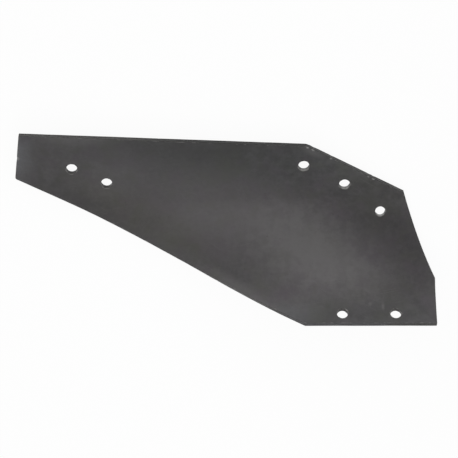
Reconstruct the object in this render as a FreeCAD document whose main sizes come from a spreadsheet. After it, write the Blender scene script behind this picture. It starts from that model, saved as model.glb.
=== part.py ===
import FreeCAD, Part
import math
import os

import Sketcher
from FreeCAD import Base, Placement, Rotation, Vector

# Plough mouldboard: one steel plate, cut along six straight edges and a hollow shin, drilled, and rolled round
# one axis.
# The flat blank has its front share corner at the origin. Its share edge runs back along minus X, and its
# height is along Y. The bend lines cross it at a small skew. The rolled plate lies with its convex back
# on the floor, the bend axis along X and the tail towards minus X, so Z is up and the floor is Z = 0.

# Each size: its name, its value in millimetres or degrees, and what it measures
SIZES = [
    ("thickness", 6, "plate"),
    ("face_radius", 127, "roll of the concave working face"),
    ("bend_angle", 67, "how far the plate is rolled, degrees"),
    ("bend_start", 17, "front share corner to the first bend line, square to it"),
    ("bend_skew", 1.5, "bend lines to the share edge, degrees"),
    ("share_length", 156.5, "edge that butts on the share"),
    ("foot_height", 60, "upright part of the front edge"),
    ("breast_height", 166.5, "corner at the top of the shin, above the share edge"),
    ("breast_inset", 39.5, "that corner, behind the front edge"),
    ("shin_radius", 900, "hollow of the shin cut, between the foot and the breast corner"),
    ("crown_height", 231, "front end of the top edge, above the share edge"),
    ("crown_inset", 156, "that corner, behind the front edge"),
    ("tail_top_height", 245.5, "upper corner of the tail, above the share edge"),
    ("tail_top_inset", 493, "that corner, behind the front edge"),
    ("tail_low_height", 186.5, "lower corner of the tail, above the share edge"),
    ("blank_length", 500, "that corner, behind the front edge"),
    ("corner_round", 3, "dressed corners at the crown and the lower tail"),
    ("hole_d", 13, "every hole but the lowest along the breast"),
    ("share_hole_margin", 14, "two holes beside the share edge, in from it"),
    ("share_front_along", 48.5, "front one, from the front corner"),
    ("share_back_along", 112, "back one, from the front corner"),
    ("breast_low_d", 12, "lowest of the three holes along the breast"),
    ("breast_low_margin", 34, "that one, in from the chord of the shin"),
    ("breast_low_along", 14, "that one, from the breast corner"),
    ("breast_mid_margin", 24, "middle one, in from the shoulder cut"),
    ("breast_mid_along", 68, "middle one, from the breast corner"),
    ("breast_top_margin", 25.5, "highest one, in from the shoulder cut"),
    ("breast_top_along", 10, "highest one, from the crown"),
    ("tail_front_margin", 46, "front hole for the tail stay, in from the long lower cut"),
    ("tail_front_along", 97.5, "that one, from the lower tail corner"),
    ("tail_back_margin", 44, "back hole for the tail stay, in from the long lower cut"),
    ("tail_back_along", 52.5, "that one, from the lower tail corner"),
    ("drill_overrun", 3, "how far a drill passes the face and the back"),
]

doc = FreeCAD.newDocument("Mouldboard")

# Driving dimensions
sheet = doc.addObject("Spreadsheet::Sheet", "Sizes")
for row, (name, value, note) in enumerate(SIZES, start=1):
    sheet.set(f"A{row}", name)
    sheet.set(f"B{row}", str(value))
    sheet.set(f"C{row}", note)
    sheet.setAlias(f"B{row}", name)
doc.recompute()


def size(name):
    """A driving dimension, read back from the sheet."""
    return float(sheet.get(name))


# Flat blank: each corner's name, and the sizes that place it behind the front edge and above the share edge
CORNERS = [
    ("front", None, None),
    ("foot", None, "foot_height"),
    ("breast", "breast_inset", "breast_height"),
    ("crown", "crown_inset", "crown_height"),
    ("tail_top", "tail_top_inset", "tail_top_height"),
    ("tail_low", "blank_length", "tail_low_height"),
    ("heel", "share_length", None),
]


def blank_corner(name):
    """A corner of the flat blank."""
    inset, height = next(sizes for corner, *sizes in CORNERS if corner == name)
    return Vector(-size(inset) if inset else 0, size(height) if height else 0, 0)


def beside_cut(start, end, along, margin):
    """The blank point that lies some way along a cut from its first corner, and a margin in from the cut."""
    corners = [blank_corner(name) for name, _, _ in CORNERS]
    middle = sum(corners, Vector()) / len(corners)
    line = (blank_corner(end) - blank_corner(start)).normalize()
    inward = Vector(-line.y, line.x, 0)
    if inward.dot(middle - blank_corner(start)) < 0:
        inward = -inward
    return blank_corner(start) + line * along + inward * margin


def shin_arc(foot, breast):
    """The hollow cut between two corners, an arc whose centre lies in front of the plate."""
    radius = size("shin_radius")
    chord = breast - foot
    forward = Vector(chord.y, -chord.x, 0).normalize()
    reach = math.sqrt(radius ** 2 - (chord.Length / 2) ** 2)
    centre = (foot + breast) / 2 + forward * reach
    return Part.Arc(foot, centre - forward * radius, breast)


def draw_blank():
    """The outline of the flat blank: a straight cut from each corner to the next, but for the hollow shin."""
    sketch = doc.addObject("Sketcher::SketchObject", "Blank")
    points = [blank_corner(name) for name, _, _ in CORNERS]
    count = len(points)
    # Each cut's end points, as the sketch numbers them: an arc always runs counter-clockwise about its centre
    starts = [1] * count
    finishes = [2] * count
    for i, point in enumerate(points):
        if CORNERS[i][0] == "foot":
            sketch.addGeometry(shin_arc(point, points[i + 1]), False)
            starts[i], finishes[i] = 2, 1
            index = sketch.addConstraint(Sketcher.Constraint("Radius", i, size("shin_radius")))
            sketch.renameConstraint(index, "shin_radius")
            continue
        sketch.addGeometry(Part.LineSegment(point, points[(i + 1) % count]), False)
    for i in range(count):
        after = (i + 1) % count
        sketch.addConstraint(Sketcher.Constraint("Coincident", i, finishes[i], after, starts[after]))
    sketch.setExpression("Constraints.shin_radius", "Sizes.shin_radius")
    for i, (corner, inset, height) in enumerate(CORNERS):
        for axis, alias, word in (("X", inset, "inset"), ("Y", height, "height")):
            if alias is None:
                other_axis_line = -2 if axis == "X" else -1
                sketch.addConstraint(Sketcher.Constraint("PointOnObject", i, starts[i], other_axis_line))
                continue
            ends = (i, starts[i], -1, 1) if axis == "X" else (-1, 1, i, starts[i])
            index = sketch.addConstraint(Sketcher.Constraint(f"Distance{axis}", *ends, size(alias)))
            sketch.renameConstraint(index, f"{corner}_{word}")
            sketch.setExpression(f"Constraints.{corner}_{word}", f"Sizes.{alias}")
    doc.recompute()
    return sketch


# The roll: the bend axis is the X axis, and an angle of zero is straight below it
FACE_RADIUS = size("face_radius")
THICKNESS = size("thickness")
HALF_BEND = math.radians(size("bend_angle")) / 2
BEND_START = size("bend_start")
BEND_END = BEND_START + 2 * HALF_BEND * FACE_RADIUS
BEYOND_BLANK = 2 * (size("blank_length") + size("tail_top_height"))
# How many points carry the hollow of the shin on to the roll
SHIN_MARKS = 9


def to_bend_lines(point):
    """Turn a blank point so that X runs along the bend lines and Y counts square to them."""
    return Rotation(Vector(0, 0, 1), -size("bend_skew")).multVec(point)


def bend_angle_at(girth):
    """Angle on the roll of a line across the blank, which stops at the bend's two ends."""
    rolled = min(max(girth, BEND_START), BEND_END) - BEND_START
    return rolled / FACE_RADIUS - HALF_BEND


def face_frame(point):
    """Where a blank point lands on the concave face, with local Z square to the face, towards the axis."""
    turned = to_bend_lines(point)
    angle = bend_angle_at(turned.y)
    past_bend = turned.y - min(max(turned.y, BEND_START), BEND_END)
    turn = Rotation(Vector(1, 0, 0), math.degrees(angle))
    below_axis = turn.multVec(Vector(turned.x, past_bend, -FACE_RADIUS))
    return Placement(below_axis, turn)


def blank_zone(outline, low, high):
    """The part of the turned blank between two lines across it."""
    strip = Part.makePlane(2 * BEYOND_BLANK, high - low, Vector(-BEYOND_BLANK, low, 0))
    return outline.common(strip).Faces[0]


def flat_slab(zone, line, angle):
    """A zone that stays flat, swung to leave the roll as a tangent at its bend line."""
    turn = Rotation(Vector(1, 0, 0), math.degrees(angle))
    start = turn.multVec(Vector(0, -line, -FACE_RADIUS))
    zone.Placement = Placement(start, turn).multiply(zone.Placement)
    return zone.extrude(turn.multVec(Vector(0, 0, -THICKNESS)))


def rolled_slab(zone):
    """The rolled zone: its cuts are drawn in the cylinder's own angle and length, then it is thickened."""
    roll = Part.Cylinder()
    roll.Radius = FACE_RADIUS
    quarter_turn = math.pi / 2
    cuts = []
    for edge in zone.OuterWire.OrderedEdges:
        hollow = isinstance(edge.Curve, Part.Circle)
        marks = edge.discretize(SHIN_MARKS) if hollow else [vertex.Point for vertex in edge.Vertexes]
        wrapped = [Base.Vector2d(bend_angle_at(mark.y) + quarter_turn, mark.x) for mark in marks]
        if hollow:
            cut = Part.Geom2d.BSplineCurve2d()
            cut.interpolate(wrapped)
        else:
            cut = Part.Geom2d.Line2dSegment(*wrapped)
        cuts.append(cut.toShape(roll))
    face = Part.Face(Part.Wire(cuts))
    face.Placement = Placement(Vector(), Rotation(Vector(0, -1, 0), Vector(0, 0, -1), Vector(1, 0, 0), "XYZ"))
    return face.makeOffsetShape(THICKNESS, 1e-4, fill=True)


def roll_plate(sketch):
    """The plate, rolled between its bend lines and left flat on each side, with cuts square to the face."""
    outline = Part.Face(Part.Wire(sketch.Shape.OrderedEdges))
    outline.rotate(Vector(), Vector(0, 0, 1), -size("bend_skew"))
    lower = flat_slab(blank_zone(outline, -BEYOND_BLANK, BEND_START), BEND_START, -HALF_BEND)
    middle = rolled_slab(blank_zone(outline, BEND_START, BEND_END))
    upper = flat_slab(blank_zone(outline, BEND_END, BEYOND_BLANK), BEND_END, HALF_BEND)
    plate = doc.addObject("Part::Feature", "Rolled_plate")
    plate.Shape = lower.fuse([middle, upper]).removeSplitter().Solids[0]
    return plate


def dress_corners(plate, corners):
    """Round the sharp corners of the outline that the smith has dressed."""
    rounded = doc.addObject("Part::Fillet", "Dressed_plate")
    rounded.Base = plate
    radius = size("corner_round")
    picked = []
    for name in corners:
        middle = face_frame(blank_corner(name)).multVec(Vector(0, 0, -THICKNESS / 2))
        gaps = [(edge.CenterOfMass - middle).Length for edge in plate.Shape.Edges]
        picked.append((gaps.index(min(gaps)) + 1, radius, radius))
    rounded.Edges = picked
    doc.recompute()
    return rounded


# Holes: each one's name, the two corners of the cut it stands beside, its diameter, its distance from the first
# of those corners along the cut, and its margin in from the cut
HOLES = [
    ("Share_front", "front", "heel", "hole_d", "share_front_along", "share_hole_margin"),
    ("Share_back", "front", "heel", "hole_d", "share_back_along", "share_hole_margin"),
    ("Breast_low", "breast", "foot", "breast_low_d", "breast_low_along", "breast_low_margin"),
    ("Breast_mid", "breast", "crown", "hole_d", "breast_mid_along", "breast_mid_margin"),
    ("Breast_top", "crown", "breast", "hole_d", "breast_top_along", "breast_top_margin"),
    ("Tail_front", "tail_low", "heel", "hole_d", "tail_front_along", "tail_front_margin"),
    ("Tail_back", "tail_low", "heel", "hole_d", "tail_back_along", "tail_back_margin"),
]


def drill(name, start, end, diameter, along, margin):
    """A drill that stands square to the face at a blank point and passes right through the plate."""
    tool = doc.addObject("Part::Cylinder", f"{name}_drill")
    tool.setExpression("Radius", f"Sizes.{diameter} / 2")
    tool.setExpression("Height", "Sizes.thickness + 2 * Sizes.drill_overrun")
    below_back = Placement(Vector(0, 0, -THICKNESS - size("drill_overrun")), Rotation())
    on_face = face_frame(beside_cut(start, end, size(along), size(margin)))
    tool.Placement = on_face.multiply(below_back)
    return tool


def drill_all():
    """Two holes beside the share edge, three along the breast and two in the tail."""
    drills = doc.addObject("Part::MultiFuse", "Drills")
    drills.Shapes = [drill(*hole) for hole in HOLES]
    doc.recompute()
    return drills


def rest_placement(shape):
    """Roll the plate until its weight hangs below the bend axis, and put the origin under its middle."""
    weight = shape.Solids[0].CenterOfMass
    off_plumb = math.degrees(math.atan2(weight.y, -weight.z))
    upright = Placement(Vector(0, 0, FACE_RADIUS + THICKNESS), Rotation(Vector(1, 0, 0), -off_plumb))
    settled = shape.transformed(upright.toMatrix(), copy=True)
    box = settled.optimalBoundingBox(False, False)
    to_middle = Placement(Vector(-box.Center.x, -box.Center.y, 0), Rotation())
    return to_middle.multiply(upright)


plate = dress_corners(roll_plate(draw_blank()), ("crown", "tail_low"))
mouldboard = doc.addObject("Part::Cut", "mouldboard")
mouldboard.Label = "mouldboard"
mouldboard.Base = plate
mouldboard.Tool = drill_all()
doc.recompute()
mouldboard.Placement = rest_placement(mouldboard.Shape)
doc.recompute()

# Nothing is written unless every object is sound and each drill cuts a clear hole
for item in doc.Objects:
    if "Invalid" in item.State or "Error" in item.State:
        raise RuntimeError(f"{item.Name} did not build")
if mouldboard.Shape.isNull() or not mouldboard.Shape.isValid() or len(mouldboard.Shape.Solids) != 1:
    raise RuntimeError("the mouldboard is not one sound solid")
bored_volume = sum(math.pi * size(diameter) ** 2 / 4 * THICKNESS for _, _, _, diameter, _, _ in HOLES)
cut_volume = plate.Shape.Volume - mouldboard.Shape.Volume
if abs(cut_volume - bored_volume) > 0.01 * bored_volume:
    raise RuntimeError("a drill missed the plate")

os.makedirs("parts", exist_ok=True)
mouldboard.Shape.exportStep("parts/mouldboard.step")
print(f"mouldboard {mouldboard.Shape.Volume / 1000:.1f} cm3, {len(mouldboard.Shape.Faces)} faces")
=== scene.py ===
import math

import bpy
import numpy as np
from mathutils import Matrix, Vector
from mathutils.geometry import delaunay_2d_cdt


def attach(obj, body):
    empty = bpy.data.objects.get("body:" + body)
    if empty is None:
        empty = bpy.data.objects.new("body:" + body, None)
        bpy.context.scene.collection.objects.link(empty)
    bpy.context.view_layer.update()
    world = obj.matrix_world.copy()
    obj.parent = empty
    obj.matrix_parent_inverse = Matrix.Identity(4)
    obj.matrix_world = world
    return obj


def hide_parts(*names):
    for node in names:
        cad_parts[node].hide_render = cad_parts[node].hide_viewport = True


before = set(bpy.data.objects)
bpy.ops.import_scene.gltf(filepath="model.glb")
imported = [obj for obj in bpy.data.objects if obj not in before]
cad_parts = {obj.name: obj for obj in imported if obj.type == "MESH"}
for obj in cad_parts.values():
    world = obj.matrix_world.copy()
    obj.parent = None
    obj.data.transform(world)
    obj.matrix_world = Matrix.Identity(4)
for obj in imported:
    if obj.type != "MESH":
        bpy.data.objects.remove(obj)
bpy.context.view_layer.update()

# Plough mouldboard: a dark rolled steel plate that lies on its convex back, seen from above.
# Lengths are in metres and angles in radians, in the row's own frame, unless a comment says otherwise.
MM = 0.001

# The plate and its roll, as in the CAD model
THICKNESS = 6 * MM
FACE_RADIUS = 127 * MM
HALF_BEND = math.radians(67) / 2
BEND_START = 17 * MM
BEND_END = BEND_START + 2 * HALF_BEND * FACE_RADIUS
BEND_SKEW = math.radians(1.5)
REST_ROLL = math.radians(-22.1607)
BEND_AXIS = np.array([246.557, 1.130, 133.0]) * MM

# Corners of the flat blank, counter-clockwise: X, Y and how far each is rounded, as cut or as dressed by hand
AS_CUT = 0.8
DRESSED = 3
CORNERS = np.array([
    (0, 0, AS_CUT),
    (0, 60, AS_CUT),
    (-39.5, 166.5, AS_CUT),
    (-156, 231, DRESSED),
    (-493, 245.5, AS_CUT),
    (-500, 186.5, DRESSED),
    (-156.5, 0, AS_CUT),
]) * MM

# The shin, which is the cut from the second corner to the third, is hollow: an arc of this radius
SHIN = 1
SHIN_RADIUS = 900 * MM

# Holes of the flat blank: X, Y and radius, of which one is smaller
BORE = 6.5
SMALL_BORE = 6
HOLES = np.array([
    (-48.5, 14, BORE),
    (-112, 14, BORE),
    (-66.51, 141.55, SMALL_BORE),
    (-110.62, 178.44, BORE),
    (-159.60, 203.85, BORE),
    (-392.37, 180.40, BORE),
    (-432.87, 200.12, BORE),
]) * MM

# Section of an edge: how far the face rolls over, how large the back's break is, how far the wall leans in
SHEARED_EDGE = np.array([0.55, 0.3, 0.12]) * MM
DRILLED_EDGE = np.array([0.3, 0.35, 0]) * MM

# How far the shear wandered off its line
SHEAR_WANDER = 0.05 * MM

# The press's slow waves over the blank: radians a metre along X and along Y, the start and the share of each
PRESS_HEIGHT = 0.06 * MM
PRESS_WAVES = np.array([
    (61, 23, 0.7, 1.0),
    (38, -71, 2.1, 1.0),
    (96, 64, 4.0, 0.8),
    (-83, 117, 1.3, 0.6),
])

# Knocks on the arris of the cuts: X and Y of the blank, how deep the steel is dented and how far it is bared
KNOCKS = np.array([
    (-496.5, 214.5, 0.35, 2.5),
    (-155.4, 230.6, 0.40, 2.3),
    (-148.8, 227.0, 0.35, 2.4),
    (-127.3, 215.1, 0.25, 1.8),
    (-82.2, 190.1, 0.25, 1.7),
    (-76.3, 186.8, 0.35, 2.0),
    (-262.0, 57.3, 0.25, 1.0),
    (-205.0, 26.3, 0.20, 0.9),
    (-9.3, 80.8, 0.15, 0.8),
    (-330.0, 238.5, 0.15, 1.0),
]) * MM

# The side of each bore that gets a painted highlight, as a direction on the blank
BORE_LIT_SIDE = np.array([-0.15, 0.99])

# How fine the mesh is: steps along the cuts and over the face, points round a hole, round a corner and on an
# edge's quarter circle, and rows down its wall
EDGE_STEP = 1.3 * MM
FACE_STEP = 2.8 * MM
HOLE_POINTS = 56
CORNER_POINTS = 7
QUARTER_POINTS = 6
WALL_ROWS = 5

# A ring of points stands this far inside each rim, the net of the face starts this far from the cuts, and
# points nearer than the last distance are one
RING_GAP = 0.6 * MM
NET_GAP = 0.9 * FACE_STEP
SAME_POINT = 0.0001 * MM

# Colours of the mill scale, from its darkest to its palest, and its tints
SCALE_DARK = (0.0440, 0.0424, 0.0431, 1.0)
SCALE_PALE = (0.0815, 0.0784, 0.0797, 1.0)
OLIVE = (0.0612, 0.0610, 0.0548, 1.0)
PURPLE = (0.0650, 0.0575, 0.0645, 1.0)

# Tints come in two sizes: how many clouds a metre, how far their pattern is turned and how strong they get
TINTS = (
    (17.0, 0.0, 0.75),
    (60.0, 1.0, 0.5),
)

# Colours where the scale is scratched, pitted, rubbed off at an arris or knocked off
SCRATCHED = (0.13, 0.128, 0.125, 1.0)
PITTED = (0.028, 0.026, 0.026, 1.0)
RUBBED = (0.19, 0.185, 0.18, 1.0)
KNOCKED = (0.28, 0.274, 0.268, 1.0)

# Scratches run in two directions: how long and wide they are in millimetres, how many degrees they turn, and
# the level of their noise where they start
SCRATCHES = (
    (80, 0.7, 12, 0.74),
    (50, 0.9, -34, 0.75),
)

# How strongly scratches and pits show
SCRATCH_SHARE = 0.22
PIT_SHARE = 0.3

# Size of the grain along X, Y and the depth: lines that the rolling drew, and marks that tools left on the
# walls
ROLLING_LINE = (110 * MM, 1.4 * MM, 110 * MM)
DRAG_MARK = (1.25 * MM, 1.25 * MM, 16 * MM)

# How metallic the plate is under its scale, how rough its darkest and its palest scale are, and its relief
METALLIC = 0.7
DARK_ROUGHNESS = 0.44
PALE_ROUGHNESS = 0.37
RELIEF_STRENGTH = 0.25
RELIEF_HEIGHT = 0.1 * MM

# Colours of the walls between and on their drag marks: sheared smooth, torn, and with a painted highlight in
# the bores
SHEARED_WALL = ((0.045, 0.043, 0.042, 1.0), (0.070, 0.068, 0.066, 1.0))
TORN_WALL = ((0.030, 0.028, 0.027, 1.0), (0.055, 0.052, 0.050, 1.0))
PAINTED_BORE_HIGHLIGHT = ((0.17, 0.168, 0.164, 1.0), (0.30, 0.296, 0.290, 1.0))
# Painted shade on the walls at the front of the top edge and on the shoulder
PAINTED_WALL_SHADE = (0.018, 0.018, 0.018, 1.0)
# A paler, bluer wall along the share edge
PALE_BLUE_WALL = (0.084, 0.085, 0.100, 1.0)

# Patches of the working face: painted highlight along the hollow, painted shade along the top edge, at the
# breast,
# by the share and on the tail, a cooler, paler tint at the tail end and by the share, and a few small scuffs:
# the middle on the blank and the reach along and across, all in millimetres, how many degrees the long way
# turns, the strength and the colour
# Colours of the patches: a painted highlight that also colours a few small scuffs, a cooler paler tint, and
# painted shade
HIGHLIGHT_AND_SCUFF = (0.132, 0.128, 0.129, 1.0)
COOL = (0.121, 0.123, 0.131, 1.0)
PAINTED_SHADE = (0.036, 0.035, 0.035, 1.0)
PATCHES = (
    (-262, 232, 215, 62, -2, 0.49, PAINTED_SHADE),
    (-78, 152, 85, 45, -40, 0.30, PAINTED_SHADE),
    (-70, 33, 100, 40, 4, 0.52, PAINTED_SHADE),
    (-432, 160, 90, 27, -28, 0.42, PAINTED_SHADE),
    (-250, 130, 230, 82, -24, 0.37, HIGHLIGHT_AND_SCUFF),
    (-232, 108, 35, 22, -24, 0.08, HIGHLIGHT_AND_SCUFF),
    (-142, 92, 130, 66, -24, 0.74, HIGHLIGHT_AND_SCUFF),
    (-245, 53, 65, 14, -28, 0.34, HIGHLIGHT_AND_SCUFF),
    (-150, 223, 22, 8, -28, 0.34, HIGHLIGHT_AND_SCUFF),
    (-435, 243, 75, 16, -3, 0.34, HIGHLIGHT_AND_SCUFF),
    (-325, 97, 95, 22, -28, 0.12, HIGHLIGHT_AND_SCUFF),
    (-200, 22, 60, 8, -28, 0.22, HIGHLIGHT_AND_SCUFF),
    (-4, 35, 18, 45, 0, 0.10, HIGHLIGHT_AND_SCUFF),
    (-20, 112, 65, 14, 110, 0.08, HIGHLIGHT_AND_SCUFF),
    (-500, 221, 31, 60, 0, 0.80, COOL),
    (-168, 12, 55, 22, 0, 0.36, COOL),
    (-22, 39, 24, 3.5, 21, 0.09, HIGHLIGHT_AND_SCUFF),
    (-63.5, 22.7, 2.8, 7.5, 4, 0.38, HIGHLIGHT_AND_SCUFF),
    (-78.8, 26.8, 3.2, 4.5, -9, 0.22, HIGHLIGHT_AND_SCUFF),
    (-121.2, 57.2, 6, 3, 12, 0.30, HIGHLIGHT_AND_SCUFF),
)

# Broad casts of the scale: the middle, the reach and the turn as above, and a factor on each colour
CASTS = (
    (-220, 250, 290, 110, -2, (0.972, 1.014, 1.012, 1.0)),
    (-170, 110, 240, 85, -24, (1.016, 0.992, 1.016, 1.0)),
    (-350, 135, 130, 35, -28, (1.0, 1.0, 0.940, 1.0)),
    (-60, 10, 120, 40, 0, (0.985, 1.004, 1.012, 1.0)),
)

# The floor's sheet, and the share of it that is seen at full white: the rest keeps the soft shadow
FLOOR_HALF = 4.0
FLOOR_COLOUR = (0.92, 0.92, 0.92, 1.0)
FLOOR_WHITE = 0.94
WHITE = (1.0, 1.0, 1.0, 1.0)

# Camera: the photo's own view. It stands past the top edge and looks down, tilted back towards the plate,
# with a small turn about the vertical and a small roll about its own sight
EYE = Vector((1.729, 810.517, 2069.238)) * MM
CAMERA_TURN = math.radians(0.0505)
CAMERA_TILT = math.radians(-21.7900)
CAMERA_ROLL = math.radians(-1.4216)
FOCAL_PIXELS = 1852.44
FRAME_PIXELS = 458
SENSOR_WIDTH = 36

# How high the lamps hang, and how the strips slant with the light band in the hollow
LAMP_HEIGHT = 0.8
STRIP_SLANT = math.radians(-13)

# The room's ceiling against its walls
CEILING_SHARE = 0.50


def on_roll(x, y, depth):
    """Blank points to the rolled plate. They turn by the skew. The girth between the bend lines becomes an
    angle on a circle of the face radius plus the depth, and what lies past a bend line goes straight on as
    its tangent. The plate then rolls to its rest attitude about the bend axis."""
    turned_x = x * math.cos(BEND_SKEW) + y * math.sin(BEND_SKEW)
    girth = y * math.cos(BEND_SKEW) - x * math.sin(BEND_SKEW)
    bent = np.clip(girth, BEND_START, BEND_END)
    past = girth - bent
    angle = (bent - BEND_START) / FACE_RADIUS - HALF_BEND + REST_ROLL
    radius = FACE_RADIUS + depth
    across = past * np.cos(angle) + radius * np.sin(angle)
    up = past * np.sin(angle) - radius * np.cos(angle)
    return np.stack([turned_x, across, up], axis=-1) + BEND_AXIS


def press_waves(x, y):
    """How far the press left the plate off its true form, always to the hollow side: the sum of slow sine
    waves over the blank, less the most that they reach."""
    per_x, per_y, starts, shares = PRESS_WAVES.T
    waves = shares * np.sin(x[:, None] * per_x + y[:, None] * per_y + starts)
    return PRESS_HEIGHT * (waves.sum(axis=1) - shares.sum())


def cut_lines():
    """Each cut of the blank, counter-clockwise: its first corner, direction, outward normal and length."""
    spots = CORNERS[:, :2]
    lines = np.roll(spots, -1, axis=0) - spots
    lengths = np.linalg.norm(lines, axis=1)
    lines = lines / lengths[:, None]
    return spots, lines, np.stack([lines[:, 1], -lines[:, 0]], axis=1), lengths


def shin_hollow(along, start, end):
    """How far the shin dips inside its chord at each place along it, and how its cut leans there: the height
    of a circle over its middle at that place, less its height at the chord's ends."""
    from_middle = (along - (start + end) / 2) / SHIN_RADIUS
    half_chord = (end - start) / 2 / SHIN_RADIUS
    return SHIN_RADIUS * (np.sqrt(1 - from_middle ** 2) - math.sqrt(1 - half_chord ** 2)), -from_middle


def outline_path():
    """The blank's outline and its outward directions: round each corner on an arc that touches both cuts, and
    along each cut at an even step. The shin dips inside its chord."""
    points, outward = [], []
    spots, lines, normals, lengths = cut_lines()
    turns = np.arctan2(normals[:, 1], normals[:, 0])
    bends = (turns - np.roll(turns, 1)) % (2 * math.pi)
    touches = CORNERS[:, 2] * np.tan(bends / 2)
    for i in range(len(spots)):
        before = (i - 1) % len(spots)
        centre = spots[i] - lines[before] * touches[i] - normals[before] * CORNERS[i, 2]
        around = turns[before] + bends[i] * np.linspace(0, 1, CORNER_POINTS)
        spokes = np.stack([np.cos(around), np.sin(around)], axis=1)
        points.append(centre + CORNERS[i, 2] * spokes)
        outward.append(spokes)
        start, end = touches[i], lengths[i] - touches[(i + 1) % len(spots)]
        along = np.linspace(start, end, int((end - start) / EDGE_STEP) + 2)[1:-1, None]
        dip, lean = shin_hollow(along, start, end) if i == SHIN else (0 * along, 0 * along)
        points.append(spots[i] + lines[i] * along - normals[i] * dip)
        facing = normals[i] + lines[i] * lean
        outward.append(facing / np.linalg.norm(facing, axis=1)[:, None])
    return np.concatenate(points), np.concatenate(outward)


def hole_path(hole):
    """A hole's rim, clockwise, with directions that point out of the steel, towards the hole's middle."""
    around = -np.linspace(0, 2 * math.pi, HOLE_POINTS, endpoint=False)
    spokes = np.stack([np.cos(around), np.sin(around)], axis=1)
    return hole[:2] + hole[2] * spokes, -spokes


def knock_bells(spots):
    """A bell curve about each knock, 1 at its middle, for each point of the blank."""
    away = np.linalg.norm(spots[:, None] - KNOCKS[None, :, :2], axis=2)
    return np.exp(-(away / KNOCKS[:, 3]) ** 2)


def cut_wander(spots):
    """How far the cut falls inside its true line: a faint slow wave, and a bell-shaped dip at each knock."""
    wave = 1 + np.sin(210 * spots[:, 0] + 1.1) * np.sin(170 * spots[:, 1] + 0.4)
    return SHEAR_WANDER * wave + (KNOCKS[:, 2] * knock_bells(spots)).sum(axis=1)


def cut_gap(spots):
    """How far each point of the blank lies inside the nearest cut or hole rim, and 0 past it: the least of
    its distances to the straight cuts, to the shin's circle and to the hole circles."""
    corners, lines, normals, lengths = cut_lines()
    gaps = np.array([(corner - spots) @ normal for corner, normal in zip(corners, normals)])
    reach = math.sqrt(SHIN_RADIUS ** 2 - (lengths[SHIN] / 2) ** 2)
    centre = corners[SHIN] + lines[SHIN] * lengths[SHIN] / 2 + normals[SHIN] * reach
    gaps[SHIN] = np.linalg.norm(spots - centre, axis=1) - SHIN_RADIUS
    from_holes = np.array([np.linalg.norm(spots - hole[:2], axis=1) - hole[2] for hole in HOLES])
    return np.maximum(np.concatenate([gaps, from_holes]).min(axis=0), 0)


def edge_profile(rollover, back_break, lean):
    """Section of an edge from the face to the back, as distances in from the outline and down from the face:
    a quarter circle where the tool rolled the face over, a wall that leans in as the square of its depth, and
    a small quarter circle at the back."""
    quarter = np.linspace(0, math.pi / 2, QUARTER_POINTS)
    face_in = rollover * (1 - np.sin(quarter))
    face_down = rollover * (1 - np.cos(quarter))
    wall_down = np.linspace(rollover, THICKNESS - back_break, WALL_ROWS + 2)[1:-1]
    wall_in = lean * (wall_down / THICKNESS) ** 2
    back_in = lean + back_break * (1 - np.cos(quarter))
    back_down = THICKNESS - back_break * (1 - np.sin(quarter))
    inwards = np.concatenate([face_in, wall_in, back_in])
    down = np.concatenate([face_down, wall_down, back_down])
    return np.stack([inwards, down], axis=1)


def blank_net(rims, rings):
    """Triangles over the blank between its outline and its holes: a net of even hexagon points, with the rims
    and the rings inside them as fixed points. Gives all points, and triangles that number them."""
    low, high = CORNERS[:, :2].min(axis=0), CORNERS[:, :2].max(axis=0)
    row_step = FACE_STEP * math.sqrt(3) / 2
    net_x, net_y = np.meshgrid(np.arange(low[0], high[0], FACE_STEP), np.arange(low[1], high[1], row_step))
    net_x[1::2] += FACE_STEP / 2
    net = np.stack([net_x.ravel(), net_y.ravel()], axis=1)
    points = np.concatenate([*rims, *rings, net[cut_gap(net) > NET_GAP]])
    edges, first = [], 0
    for rim in rims:
        numbers = np.arange(first, first + len(rim))
        edges.append(np.stack([numbers, np.roll(numbers, -1)], axis=1))
        first += len(rim)
    edges = np.concatenate(edges).tolist()
    inside_rims = 1
    made = delaunay_2d_cdt([Vector(p) for p in points], edges, [], inside_rims, SAME_POINT)
    faces, sources = made[2:4]
    triangles = np.array([source[0] for source in sources])[np.array(faces)]
    middles = points[triangles].mean(axis=1)
    in_hole = np.any([np.linalg.norm(middles - hole[:2], axis=1) < hole[2] for hole in HOLES], axis=0)
    triangles = triangles[~in_hole]
    a, b, c = (points[triangles[:, k]] for k in range(3))
    area = (b[:, 0] - a[:, 0]) * (c[:, 1] - a[:, 1]) - (b[:, 1] - a[:, 1]) * (c[:, 0] - a[:, 0])
    triangles[area < 0] = triangles[area < 0][:, ::-1]
    return points, triangles


def wall_quads(face_rim, back_rim, rows):
    """Quads of one wall, from the face's rim down its rows to the back's rim, closed round the path. The rims
    and the rows are numbers of points."""
    numbers = np.concatenate([face_rim[None], rows, back_rim[None]])
    beside = np.roll(numbers, -1, axis=1)
    return np.stack([numbers[:-1], numbers[1:], beside[1:], beside[:-1]], axis=-1).reshape(-1, 4)


def plate_object(spots, depths, faces, masks):
    """The plate's mesh on the roll, which keeps each point's place on the blank, and the masks, for its
    material."""
    at = on_roll(spots[:, 0], spots[:, 1], depths + press_waves(spots[:, 0], spots[:, 1]))
    mesh = bpy.data.meshes.new("mouldboard_plate")
    mesh.from_pydata(at, [], faces)
    mesh.shade_smooth()
    blank = mesh.attributes.new("blank", "FLOAT_VECTOR", "POINT")
    blank.data.foreach_set("vector", np.column_stack([spots, depths]).astype(np.float32).ravel())
    for name, values in masks.items():
        mesh.attributes.new(name, "FLOAT", "POINT").data.foreach_set("value", values.astype(np.float32))
    mesh.update()
    plate = bpy.data.objects.new("mouldboard_plate", mesh)
    bpy.context.scene.collection.objects.link(plate)
    return plate


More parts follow.
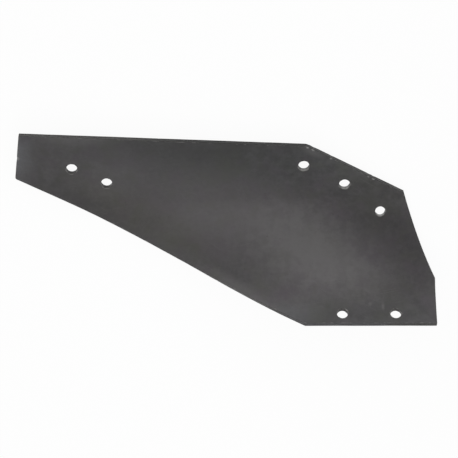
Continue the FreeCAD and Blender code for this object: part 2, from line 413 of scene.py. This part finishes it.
def make_plate():
    """The plate: one net of triangles for the face, the same net turned over for the back, and each edge as
    its profile carried round the outline or a hole."""
    edges = [(*outline_path(), edge_profile(*SHEARED_EDGE))]
    edges += [(*hole_path(hole), edge_profile(*DRILLED_EDGE)) for hole in HOLES]
    edges = [(path - out * cut_wander(path)[:, None], out, profile) for path, out, profile in edges]
    rims = [path - out * profile[0, 0] for path, out, profile in edges]
    rings = [path - out * (profile[0, 0] + RING_GAP) for path, out, profile in edges]
    back_rims = np.concatenate([path - out * profile[-1, 0] for path, out, profile in edges])
    points, triangles = blank_net(rims, rings)
    back_points = points.copy()
    back_points[:len(back_rims)] = back_rims
    count = len(points)
    spots = [points, back_points]
    depths = [np.zeros(count), np.full(count, THICKNESS)]
    faces = triangles.tolist() + (triangles[:, ::-1] + count).tolist()
    walls, bores, lit_sides = ([np.zeros(2 * count)] for mask in range(3))
    first, added = 0, 2 * count
    for path, out, profile in edges:
        inner = profile[1:-1]
        size = len(inner) * len(path)
        spots.append((path[None] - out[None] * inner[:, 0, None, None]).reshape(-1, 2))
        depths.append(np.repeat(inner[:, 1], len(path)))
        walls.append(np.ones(size))
        bores.append(np.full(size, float(first > 0)))
        # How far each wall point faces the side that gets the bores' painted highlight
        lit_sides.append(np.tile(out @ BORE_LIT_SIDE, len(inner)))
        rim = np.arange(first, first + len(path))
        rows = np.arange(added, added + size).reshape(len(inner), len(path))
        faces += wall_quads(rim, rim + count, rows).tolist()
        first += len(path)
        added += size
    spots = np.concatenate(spots)
    masks = {
        "cut_wall": np.concatenate(walls),
        "bore_wall": np.concatenate(bores),
        # Painted highlight side of the bores
        "bore_lit_side": np.concatenate(lit_sides),
        "cut_gap": cut_gap(spots),
        "knock": knock_bells(spots).max(axis=1),
    }
    return plate_object(spots, np.concatenate(depths), faces, masks)


# Materials
class Nodes:
    """Empties the tree of a material or a world, and adds nodes to it in one line each."""

    def __init__(self, tree):
        tree.nodes.clear()
        self.tree = tree

    def add(self, kind, inputs=None, **settings):
        node = self.tree.nodes.new(kind)
        for key, value in settings.items():
            setattr(node, key, value)
        for key, value in (inputs or {}).items():
            self.feed(node.inputs[key], value)
        return node

    def feed(self, slot, value):
        """A slot takes another node's output or a plain value."""
        if isinstance(value, bpy.types.NodeSocket):
            self.tree.links.new(value, slot)
        else:
            slot.default_value = value

    def kept(self, name, output="Fac"):
        """What the mesh keeps under a name."""
        return self.add("ShaderNodeAttribute", attribute_name=name).outputs[output]

    def maths(self, operation, a, b):
        return self.add("ShaderNodeMath", {0: a, 1: b}, operation=operation).outputs[0]

    def times(self, first, *others):
        for other in others:
            first = self.maths("MULTIPLY", first, other)
        return first

    def weigh(self, *terms):
        """The sum of values, each times its weight."""
        total = 0.0
        for value, weight in terms:
            total = self.maths("ADD", total, self.times(value, weight))
        return total

    def between(self, value, low, high, to_low=0.0, to_high=1.0):
        """A smooth step from to_low, at the value low and before it, to to_high, at high and past it."""
        ends = {"Value": value, "From Min": low, "From Max": high, "To Min": to_low, "To Max": to_high}
        return self.add("ShaderNodeMapRange", ends, interpolation_type="SMOOTHSTEP").outputs["Result"]

    def noise(self, vector, scale, detail=3.0, roughness=0.5):
        ends = {"Vector": vector, "Scale": scale, "Detail": detail, "Roughness": roughness}
        return self.add("ShaderNodeTexNoise", ends).outputs["Fac"]

    def span(self, vector, reach, turn=0.0, centre=(0.0, 0.0, 0.0)):
        """A vector seen from a centre and a turned set of axes, with the reach along each of them as 1."""
        ends = {"Vector": vector, "Scale": reach, "Rotation": (0.0, 0.0, turn), "Location": centre}
        return self.add("ShaderNodeMapping", ends, vector_type="TEXTURE").outputs["Vector"]

    def from_ellipse(self, blank, x, y, along, across, turn):
        """0 at the middle of an ellipse on the blank and 1 on its rim, from millimetres and degrees."""
        inside = self.span(blank, (along * MM, across * MM, 1.0), math.radians(turn), (x * MM, y * MM, 0.0))
        return self.add("ShaderNodeVectorMath", {0: inside}, operation="LENGTH").outputs["Value"]

    def mix(self, amount, first, second, blend="MIX"):
        """Two colours mixed. The node has slots of each name, of which the one for colours is enabled."""
        node = self.add("ShaderNodeMix", data_type="RGBA", blend_type=blend)
        for name, value in {"Factor": amount, "A": first, "B": second}.items():
            self.feed(next(slot for slot in node.inputs if slot.name == name and slot.enabled), value)
        return next(slot for slot in node.outputs if slot.enabled)


def new_material(name):
    """A material, and what adds nodes to its emptied tree."""
    material = bpy.data.materials.new(name)
    material.use_nodes = True
    return material, Nodes(material.node_tree)


def clouded_scale(n, blank, along):
    """Mill scale: three sizes of cloud, fine grain and faint lines along the roll, with painted light that
    makes it paler towards the tail.
    Gives its tone, from dark to pale, and the noises that its relief shares."""
    clouds = n.between(n.noise(blank, 11.0, 3.0, 0.5), 0.3, 0.7)
    mottle = n.between(n.noise(blank, 75.0, 4.0, 0.6), 0.3, 0.7)
    curds = n.between(n.noise(blank, 190.0, 3.0, 0.6), 0.3, 0.7)
    grain = n.noise(blank, 900.0, 3.0, 0.65)
    lines = n.noise(n.span(blank, ROLLING_LINE), 1.0, 3.0, 0.6)
    tone = n.weigh((clouds, 0.34), (mottle, 0.24), (curds, 0.22), (grain, 0.14), (lines, 0.06))
    # Painted light: the tone is paler towards the tail
    tone = n.maths("ADD", tone, n.between(along, -0.28, -0.46, 0.0, 0.34))
    return tone, mottle, curds, grain, lines


def tinted(n, blank, scale):
    """Olive and purple tints that come and go over the scale."""
    for size, turn, most in TINTS:
        at = n.span(blank, (1.0, 1.0, 1.0), turn)
        olive = n.between(n.noise(at, size, 2.0), 0.48, 0.72, 0.0, most)
        scale = n.mix(olive, scale, OLIVE)
        purple = n.between(n.noise(at, size * 0.9, 2.0), 0.50, 0.28, 0.0, most)
        scale = n.mix(purple, scale, PURPLE)
    return scale


def casts_and_painted_light(n, blank, depth, mottle, scale):
    """The casts, then the patches of painted highlight, painted shade, cooler tint and scuffs, which the
    working face alone has and whose borders wander.
    """
    on_face = n.between(depth, 1 * MM, 4 * MM, 1.0, 0.0)
    for *ellipse, cast in CASTS:
        near = n.between(n.from_ellipse(blank, *ellipse), 0.3, 1.0, 1.0, 0.0)
        scale = n.mix(near, scale, cast, "MULTIPLY")
    wander = n.between(mottle, 0.0, 1.0, -0.10, 0.10)
    # Painted highlight and painted shade on the face, with a cooler tint and a few scuffs
    for *ellipse, strength, shade in PATCHES:
        away = n.maths("ADD", n.from_ellipse(blank, *ellipse), wander)
        scale = n.mix(n.times(n.between(away, 0.0, 1.0, strength, 0.0), on_face), scale, shade)
    return scale


def scratches(n, blank):
    """Thin hairs in two directions, each only where a slow noise lets it through."""
    hairs = 0.0
    for length, width, turn, level in SCRATCHES:
        stretched = n.span(blank, (length * MM, width * MM, 1.0), math.radians(turn))
        hair = n.between(n.noise(stretched, 1.0, 0.0), level, level + 0.06)
        hairs = n.maths("MAXIMUM", hairs, hair)
    return n.times(hairs, n.between(n.noise(blank, 13.0, 1.0), 0.50, 0.62))


def bared(n, uneven, scale):
    """Arrises rubbed in places, round the holes too, and bare steel at the knocks."""
    reach = n.between(uneven, 0.35, 0.70, 0.3 * MM, 1.6 * MM)
    arris = n.between(n.maths("DIVIDE", n.kept("cut_gap"), reach), 0.3, 1.0, 1.0, 0.0)
    arris = n.times(arris, n.between(uneven, 0.40, 0.62, 0.30, 0.9))
    knock = n.times(n.between(n.kept("knock"), 0.15, 0.8), n.between(uneven, 0.3, 0.5, 0.5, 1.0))
    return n.mix(knock, n.mix(arris, scale, RUBBED), KNOCKED)


def sheared_wall(n, along, across, torn, marks):
    """Colour of a sheared wall: a smoother band by the face and a duller torn band below. It has painted
    shade on the front of the top edge and on the shoulder, and is paler and bluer along the share edge."""
    bare = n.mix(torn, n.mix(marks, *SHEARED_WALL), n.mix(marks, *TORN_WALL))
    top_wall_shade = n.times(n.between(along, -0.36, -0.30, 0.0, 0.65), n.between(along, -0.17, -0.13, 1.0, 0.6))
    # Painted shade on the front of the top edge's wall and on the shoulder
    bare = n.mix(n.times(top_wall_shade, n.between(across, 0.12, 0.20)), bare, PAINTED_WALL_SHADE)
    # Paler and bluer along the share edge
    paler_bluer = n.times(n.between(across, 0.030, 0.010, 0.0, 0.3), n.between(along, -0.045, -0.070))
    return n.mix(paler_bluer, bare, PALE_BLUE_WALL)


def drilled_wall(n, along, across, marks):
    """Colour of a drilled wall: dull with scale in the tail and by the share, and at the breast a painted
    highlight on the side that faces the top edge."""
    # Painted highlight on the walls of the breast bores, on the side that faces the top edge
    shine = n.times(n.between(along, -0.36, -0.22), n.between(across, 0.04, 0.10))
    shine = n.times(shine, n.between(n.kept("bore_lit_side"), 0.50, 0.90, 0.05, 1.0))
    return n.mix(shine, n.mix(marks, *TORN_WALL), n.mix(marks, *PAINTED_BORE_HIGHLIGHT))


def rolled_steel():
    """Dark rolled plate: clouded and tinted mill scale with painted light towards the tail, patches of
    painted highlight and painted shade on its working face, a few scratches and small pits, rubbed arrises,
    and sheared and drilled walls with upright drag marks, painted shade on the top edge's walls and a painted
    highlight in the bores."""
    material, n = new_material("rolled_steel")
    blank = n.kept("blank", "Vector")
    wall = n.kept("cut_wall")
    along, across, depth = n.add("ShaderNodeSeparateXYZ", {0: blank}).outputs
    tone, mottle, curds, grain, lines = clouded_scale(n, blank, along)
    scale = tinted(n, blank, n.mix(tone, SCALE_DARK, SCALE_PALE))
    scale = casts_and_painted_light(n, blank, depth, mottle, scale)
    hairs = scratches(n, blank)
    scale = n.mix(n.times(hairs, SCRATCH_SHARE), scale, SCRATCHED)
    pits = n.between(n.noise(blank, 330.0, 1.0), 0.73, 0.80)
    scale = n.mix(n.times(pits, PIT_SHARE), scale, PITTED)
    uneven = n.noise(blank, 130.0, 3.0, 0.6)
    scale = bared(n, uneven, scale)

    # Walls: the torn band starts at an uneven depth
    drag = n.noise(n.span(blank, DRAG_MARK), 1.0, 2.0)
    marks = n.between(drag, 0.3, 0.7)
    ragged = n.maths("ADD", depth, n.between(uneven, 0.3, 0.7, -1 * MM, 1 * MM))
    torn = n.between(ragged, 1.8 * MM, 3.2 * MM)
    colour = n.mix(wall, scale, sheared_wall(n, along, across, torn, marks))
    colour = n.mix(n.kept("bore_wall"), colour, drilled_wall(n, along, across, marks))

    # Pale scale and scratches are smoother, and a torn wall is rougher
    roughness = n.between(tone, 0.2, 0.8, DARK_ROUGHNESS, PALE_ROUGHNESS)
    roughness = n.maths("ADD", roughness, n.between(grain, 0.3, 0.7, -0.03, 0.03))
    roughness = n.maths("SUBTRACT", roughness, n.times(hairs, 0.08))
    roughness = n.maths("ADD", roughness, n.times(wall, torn, 0.15))
    sunk = n.maths("MAXIMUM", pits, hairs)
    drags = n.times(drag, wall)
    relief = n.weigh((grain, 0.5), (mottle, 0.5), (curds, 0.3), (lines, 0.4), (sunk, -0.6), (drags, 1.5))
    heights = {"Strength": RELIEF_STRENGTH, "Distance": RELIEF_HEIGHT, "Height": relief}
    bump = n.add("ShaderNodeBump", heights).outputs["Normal"]
    ends = {"Base Color": colour, "Roughness": roughness, "Metallic": METALLIC, "Normal": bump}
    shader = n.add("ShaderNodeBsdfPrincipled", ends)
    n.add("ShaderNodeOutputMaterial", {"Surface": shader.outputs[0]})
    return material


def pale_floor():
    """A white sheet: the eye and any mirror see it at full white, less the share that keeps its shadow."""
    material, n = new_material("pale_floor")
    sheet = n.add("ShaderNodeBsdfDiffuse", {"Color": FLOOR_COLOUR}).outputs[0]
    glow = n.add("ShaderNodeEmission", {"Color": WHITE, "Strength": 1.0}).outputs[0]
    path = n.add("ShaderNodeLightPath").outputs
    mirrored = n.maths("MAXIMUM", path["Is Glossy Ray"], path["Is Transmission Ray"])
    share = n.times(n.maths("MAXIMUM", path["Is Camera Ray"], mirrored), FLOOR_WHITE)
    mixed = n.add("ShaderNodeMixShader", {0: share, 1: sheet, 2: glow}).outputs[0]
    n.add("ShaderNodeOutputMaterial", {"Surface": mixed})
    return material


# The room
def make_floor():
    """A flat square sheet under the plate."""
    corners = np.array([(-1, -1, 0), (1, -1, 0), (1, 1, 0), (-1, 1, 0)]) * FLOOR_HALF
    mesh = bpy.data.meshes.new("floor_sheet")
    mesh.from_pydata(corners, [], [(0, 1, 2, 3)])
    floor = bpy.data.objects.new("floor_sheet", mesh)
    bpy.context.scene.collection.objects.link(floor)
    mesh.materials.append(pale_floor())
    return floor


def make_camera():
    """The camera looks down, turned by its roll, then tilted, then turned about the vertical at its place."""
    camera = bpy.data.objects.new("camera", bpy.data.cameras.new("camera"))
    bpy.context.scene.collection.objects.link(camera)
    bpy.context.scene.camera = camera
    camera.data.sensor_width = SENSOR_WIDTH
    camera.data.lens = FOCAL_PIXELS * SENSOR_WIDTH / FRAME_PIXELS
    camera.data.clip_start = 0.1
    camera.data.clip_end = 50
    turned = Matrix.Rotation(CAMERA_TURN, 4, "Z") @ Matrix.Rotation(CAMERA_TILT, 4, "X")
    camera.matrix_world = Matrix.Translation(EYE) @ turned @ Matrix.Rotation(CAMERA_ROLL, 4, "Z")


def panel_light(name, place, size, power, turn=0.0, aim=None):
    """A soft rectangular lamp at a place, with its width and length. It faces straight down and turns about
    the vertical, or it faces a point."""
    light = bpy.data.lights.new(name, "AREA")
    light.shape = "RECTANGLE"
    light.size, light.size_y = size
    light.energy = power
    lamp = bpy.data.objects.new(name, light)
    lamp.location = place
    lamp.rotation_euler = (0.0, 0.0, turn)
    if aim is not None:
        lamp.rotation_euler = (Vector(aim) - Vector(place)).to_track_quat("-Z", "Y").to_euler()
    bpy.context.scene.collection.objects.link(lamp)


def make_lights():
    """Slant strips over the hollow, softer panels round them and one low panel past the top edge."""
    panel_light("strip_middle", (0.07, 0.03, LAMP_HEIGHT), (0.22, 1.6), 0.75, STRIP_SLANT)
    panel_light("strip_near", (0.04, -0.20, LAMP_HEIGHT), (0.22, 0.6), 0.4, STRIP_SLANT)
    panel_light("strip_left", (-0.30, -0.10, LAMP_HEIGHT), (0.40, 1.2), 0.44, STRIP_SLANT)
    panel_light("panel_left", (-0.32, -0.68, LAMP_HEIGHT), (0.5, 0.5), 0.8)
    panel_light("panel_right", (0.35, -0.60, LAMP_HEIGHT), (0.4, 0.5), 0.8)
    panel_light("panel_far", (0.20, 0.90, LAMP_HEIGHT), (0.5, 0.8), 1.15)
    panel_light("panel_far_left", (-0.30, 0.60, LAMP_HEIGHT), (0.5, 0.8), 0.85)
    panel_light("panel_low", (0.0, 1.5, 0.5), (1.6, 0.6), 3.1, aim=(0.0, 0.0, 0.0))


def make_room():
    """A white room whose ceiling is half as bright as its walls."""
    world = bpy.data.worlds.new("studio")
    bpy.context.scene.world = world
    world.use_nodes = True
    n = Nodes(world.node_tree)
    direction = n.add("ShaderNodeTexCoord").outputs["Generated"]
    height = n.add("ShaderNodeSeparateXYZ", {0: direction}).outputs["Z"]
    level = n.between(height, 0.20, 0.45, 1.0, CEILING_SHARE)
    sky = n.add("ShaderNodeBackground", {"Color": WHITE, "Strength": level}).outputs[0]
    n.add("ShaderNodeOutputWorld", {"Surface": sky})


plate = make_plate()
plate.data.materials.append(rolled_steel())
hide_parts("mouldboard")
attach(plate, "root")

floor = make_floor()

make_camera()
make_lights()
make_room()
bpy.context.scene.view_settings.view_transform = "Standard"
